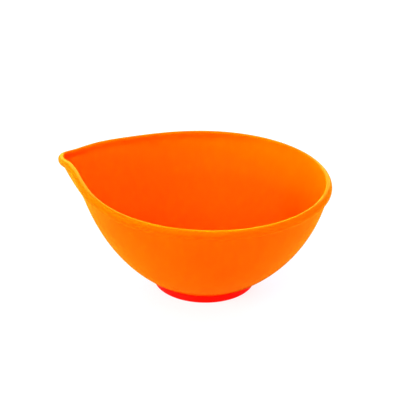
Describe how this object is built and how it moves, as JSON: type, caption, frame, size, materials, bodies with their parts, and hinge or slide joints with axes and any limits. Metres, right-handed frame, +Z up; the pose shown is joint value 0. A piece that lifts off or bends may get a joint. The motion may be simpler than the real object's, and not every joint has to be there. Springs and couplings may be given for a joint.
{
  "type": "hair color bowl",
  "caption": "Moulded mixing bowl for hair color with a rolled rim, a pouring spout drawn out of its wall and a non-slip ring pressed onto its foot.",
  "frame": {"origin": "on the resting plane, under the middle of the whole length from the spout's tip to the back of the rim", "axes": "+Z up out of the bowl's mouth, -X the way the spout points, +Y across"},
  "size_m": [0.1606, 0.1318, 0.0624],
  "materials": {
    "bowl_plastic": "smooth glossy injection moulding in orange polypropylene, faintly translucent",
    "foot_rubber": "smooth moulded red rubber with a satin shine"
  },
  "bodies": {
    "root": {"bowl": "bowl_plastic", "foot_ring": "foot_rubber"}
  },
  "joints": []
}
